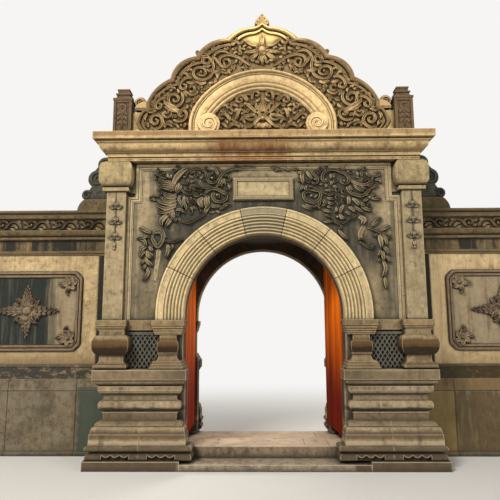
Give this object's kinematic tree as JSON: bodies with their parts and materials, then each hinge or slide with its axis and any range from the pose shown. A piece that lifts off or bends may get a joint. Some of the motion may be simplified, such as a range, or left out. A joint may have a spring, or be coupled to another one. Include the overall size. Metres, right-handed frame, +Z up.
{
  "type": "arched garden gateway",
  "caption": "Free-standing carved stone gateway with a round-headed passage, a lobed pediment, panelled wing walls and two round-topped timber leaves that swing on pivots",
  "frame": {"origin": "ground level under the middle of the passage, half way through the gate", "axes": "+X along the wall to the right seen from the front, -Y the front, +Z up"},
  "size_m": [8.14, 2.07, 5.655],
  "materials": {
    "step_stone": "worn, dusty limestone with darker arrises",
    "sill_stone": "dark worn stone with foot polish",
    "floor_stone": "worn flags",
    "carved_stone": "carved limestone, dark in the hollows",
    "lattice_stone": "carved limestone lattice, dark ground",
    "pale_stone": "dressed pale limestone",
    "ashlar": "buff limestone ashlar with fine joints",
    "plastered_core": "lime plaster over rubble",
    "arch_stone": "carved limestone arch stones",
    "cornice_stone": "limestone with rust-brown streaks",
    "dark_stone": "weathered limestone with dark crust",
    "coping_stone": "weathered moulded stone",
    "dado_stone": "damp-stained dado stones",
    "plaster": "weathered lime plaster, blue-grey and buff",
    "frame_stone": "dark moulded frame",
    "wing_coping": "carved frieze and coping, dark with dirt",
    "door_boards": "red-painted planks, faded to orange above",
    "door_frame": "red-painted timber post",
    "iron": "rusted iron"
  },
  "bodies": {
    "gate": {"base_slabs": "step_stone", "lower_step": "step_stone", "sill": "sill_stone", "pivot_stones": "sill_stone", "passage_floor": "floor_stone", "pedestal_feet": "carved_stone", "pedestals": "carved_stone", "corner_dies": "carved_stone", "inner_dies": "carved_stone", "lattice_panels": "lattice_stone", "imposts": "pale_stone", "pilasters": "ashlar", "capitals": "pale_stone", "left_pier": "plastered_core", "right_pier": "plastered_core", "jambs": "ashlar", "front_wall_head": "ashlar", "rear_wall_head": "ashlar", "front_arch_ring": "arch_stone", "rear_arch_ring": "arch_stone", "passage_lintel": "plastered_core", "spandrel_frames": "carved_stone", "plaques": "pale_stone", "entablature": "cornice_stone", "cornice": "cornice_stone", "pediment_walls": "dark_stone", "pediment_copings": "coping_stone", "hood_rings": "arch_stone", "corner_posts": "dark_stone", "end_blocks": "coping_stone", "finials": "coping_stone", "left_wing_dado": "dado_stone", "right_wing_dado": "dado_stone", "left_wing_wall": "plaster", "right_wing_wall": "plaster", "panel_frames": "frame_stone", "left_wing_coping": "wing_coping", "right_wing_coping": "wing_coping", "shoulder_blocks": "wing_coping", "shoulder_scrolls": "dark_stone", "pivot_brackets": "iron"},
    "left_door": {"left_leaf": "door_boards", "left_leaf_post": "door_frame"},
    "right_door": {"right_leaf": "door_boards", "right_leaf_post": "door_frame"}
  },
  "joints": [
    {"name": "left_leaf_hinge", "type": "hinge", "parent": "gate", "child": "left_door", "pos_m": [-1.01, -0.462, 0.23], "axis": [0, 0, -1], "range_deg": [0, 90]},
    {"name": "right_leaf_hinge", "type": "hinge", "parent": "gate", "child": "right_door", "pos_m": [1.01, -0.462, 0.23], "axis": [0, 0, 1], "range_deg": [-5, 85]}
  ]
}
